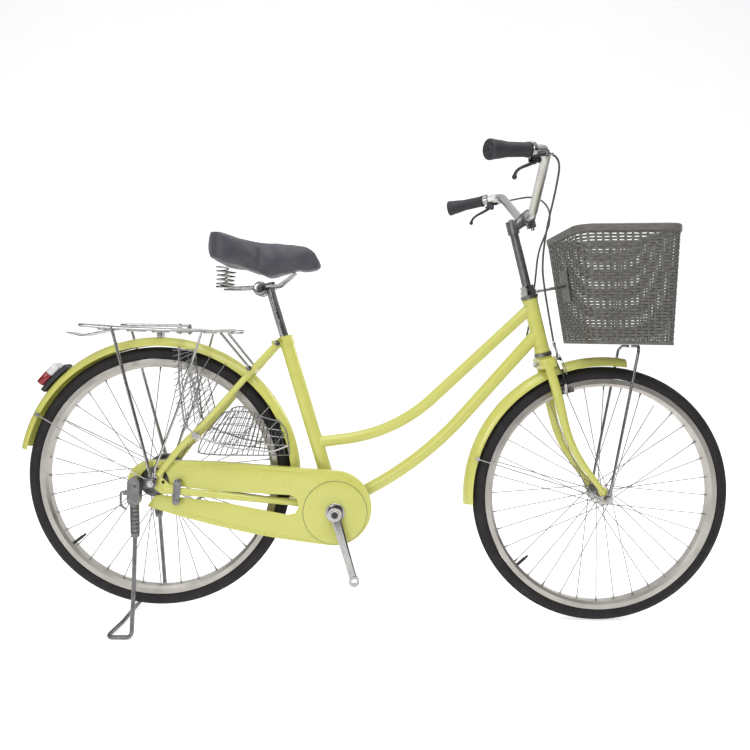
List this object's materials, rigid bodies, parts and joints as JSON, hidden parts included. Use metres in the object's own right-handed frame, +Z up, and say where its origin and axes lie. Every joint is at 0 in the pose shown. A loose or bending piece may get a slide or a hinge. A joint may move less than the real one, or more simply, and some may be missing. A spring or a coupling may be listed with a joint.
{
  "type": "bicycle on stand",
  "caption": "Step-through town bicycle on its rear stand, with mudguards, chain case, luggage rack, sprung saddle and front basket.",
  "frame": {"origin": "on the ground, at the middle of the bicycle's length and width", "axes": "+X forward, +Y to the rider's left, +Z up"},
  "size_m": [1.8141, 0.6212, 1.1507],
  "materials": {
    "painted_frame": "gloss lemon yellow enamel",
    "painted_guard": "gloss lemon yellow enamel on sheet",
    "chrome_part": "polished chrome",
    "steel_part": "zinc plated steel",
    "black_steel": "black enamel",
    "rim_alloy": "satin silver",
    "tyre_rubber": "matt tread rubber",
    "grip_rubber": "moulded grip",
    "cable_cover": "smooth black cable cover",
    "basket_plastic": "woven look moulded plastic",
    "saddle_cover": "padded synthetic cover",
    "lever_plastic": "moulded lever",
    "lens_red": "red reflector lens",
    "lamp_black": "black moulded base"
  },
  "bodies": {
    "frame": {"head_tube": "painted_frame", "upper_tube": "painted_frame", "lower_tube": "painted_frame", "seat_tube": "painted_frame", "bottom_bracket_shell": "painted_frame", "chain_stays": "painted_frame", "seat_stays": "painted_frame", "frame_fasteners": "steel_part", "bottom_bracket_cups": "steel_part", "headset_cups": "chrome_part", "rear_mudguard": "painted_guard", "rear_mudguard_stays": "steel_part", "tail_reflector_base": "lamp_black", "tail_reflector_lens": "lens_red", "rack_frame": "chrome_part", "rack_stays": "chrome_part", "chain_case": "painted_guard", "chain": "steel_part", "dress_guards": "chrome_part", "rear_axle": "steel_part", "band_brake_cover": "steel_part", "stand_brackets": "steel_part", "rear_brake_cable": "cable_cover"},
    "steering_group": {"fork": "painted_frame", "steering_fasteners": "chrome_part", "stem": "chrome_part", "handlebar": "chrome_part", "grips": "grip_rubber", "brake_lever_brackets": "lever_plastic", "front_mudguard": "painted_guard", "front_mudguard_stays": "steel_part", "basket": "basket_plastic", "basket_stays": "chrome_part", "front_brake_cable": "cable_cover", "rear_cable_loop": "cable_cover", "front_axle": "steel_part"},
    "front_wheel": {"front_tyre": "tyre_rubber", "front_rim": "rim_alloy", "front_spokes": "steel_part", "front_hub": "chrome_part"},
    "rear_wheel": {"rear_tyre": "tyre_rubber", "rear_rim": "rim_alloy", "rear_spokes": "steel_part", "rear_hub": "chrome_part", "rear_brake_drum": "steel_part"},
    "cranks": {"crank_spindle": "steel_part", "crank_arms": "chrome_part", "chainring": "steel_part"},
    "freewheel": {"sprocket": "steel_part"},
    "stand": {"stand_legs": "chrome_part"},
    "stand_catch": {"stand_lock": "black_steel"},
    "luggage_clip": {"rack_clip": "chrome_part"},
    "brake_arm_rear": {"band_brake_arm": "steel_part"},
    "seat": {"seatpost": "chrome_part", "saddle": "saddle_cover", "saddle_frame": "chrome_part"},
    "lever_right": {"brake_lever_right": "lever_plastic"},
    "lever_left": {"brake_lever_left": "lever_plastic"},
    "caliper_right": {"brake_arm_right": "chrome_part"},
    "caliper_left": {"brake_arm_left": "chrome_part"}
  },
  "joints": [
    {"name": "steering", "type": "hinge", "parent": "frame", "child": "steering_group", "pos_m": [0.4151, 0, 0.6978], "axis": [-0.2622, 0, 0.965], "range_deg": [-60, 60], "deforming": ["rear_cable_loop"]},
    {"name": "front_wheel_spin", "type": "hinge", "parent": "steering_group", "child": "front_wheel", "pos_m": [0.5751, 0, 0.332], "axis": [0, 1, 0], "continuous": true},
    {"name": "rear_wheel_spin", "type": "hinge", "parent": "frame", "child": "rear_wheel", "pos_m": [-0.5579, 0, 0.366], "axis": [0, 1, 0], "continuous": true},
    {"name": "crank_spin", "type": "hinge", "parent": "frame", "child": "cranks", "pos_m": [-0.1099, 0, 0.291], "axis": [0, 1, 0], "continuous": true},
    {"name": "sprocket_spin", "type": "hinge", "parent": "frame", "child": "freewheel", "pos_m": [-0.5579, -0.043, 0.366], "axis": [0, 1, 0], "continuous": true},
    {"name": "stand_fold", "type": "hinge", "parent": "frame", "child": "stand", "pos_m": [-0.5939, 0, 0.362], "axis": [0, 1, 0], "range_deg": [0, 85]},
    {"name": "stand_lock_turn", "type": "hinge", "parent": "stand", "child": "stand_catch", "pos_m": [-0.6159, -0.089, 0.346], "axis": [0, 1, 0], "range_deg": [0, 25]},
    {"name": "rack_clip_lift", "type": "hinge", "parent": "frame", "child": "luggage_clip", "pos_m": [-0.4979, 0, 0.753], "axis": [0, 1, 0], "range_deg": [0, 60], "stiffness_Nm_per_rad": 0.3, "springref_deg": -34.38},
    {"name": "seat_height", "type": "slide", "parent": "frame", "child": "seat", "axis": [-0.2942, 0, 0.9557], "range_m": [-0.06, 0.04]},
    {"name": "right_lever_squeeze", "type": "hinge", "parent": "steering_group", "child": "lever_right", "pos_m": [0.32118, -0.23687, 1.11463], "axis": [-0.4312, 0.9022, 0], "range_deg": [0, 18], "stiffness_Nm_per_rad": 0.3, "springref_deg": -17.19},
    {"name": "left_lever_squeeze", "type": "hinge", "parent": "steering_group", "child": "lever_left", "pos_m": [0.32118, 0.23687, 1.11463], "axis": [0.4312, 0.9022, 0], "range_deg": [0, 18], "stiffness_Nm_per_rad": 0.3, "springref_deg": -17.19},
    {"name": "brake_arm_right_turn", "type": "hinge", "parent": "steering_group", "child": "caliper_right", "pos_m": [0.44797, 0, 0.67979], "axis": [0.965, 0, 0.2622], "range_deg": [0, 1.3]},
    {"name": "brake_arm_left_turn", "type": "hinge", "parent": "steering_group", "child": "caliper_left", "pos_m": [0.44797, 0, 0.67979], "axis": [-0.965, 0, -0.2622], "range_deg": [0, 1.3]},
    {"name": "band_brake_pull", "type": "hinge", "parent": "frame", "child": "brake_arm_rear", "pos_m": [-0.5279, 0.0515, 0.32], "axis": [0, -1, 0], "range_deg": [0, 8]}
  ],
  "couplings": [
    {"joint": "sprocket_spin", "follows": "crank_spin", "ratio": 2},
    {"joint": "brake_arm_right_turn", "follows": "right_lever_squeeze", "ratio": 0.0722},
    {"joint": "brake_arm_left_turn", "follows": "right_lever_squeeze", "ratio": 0.0722},
    {"joint": "band_brake_pull", "follows": "left_lever_squeeze", "ratio": 0.444}
  ]
}
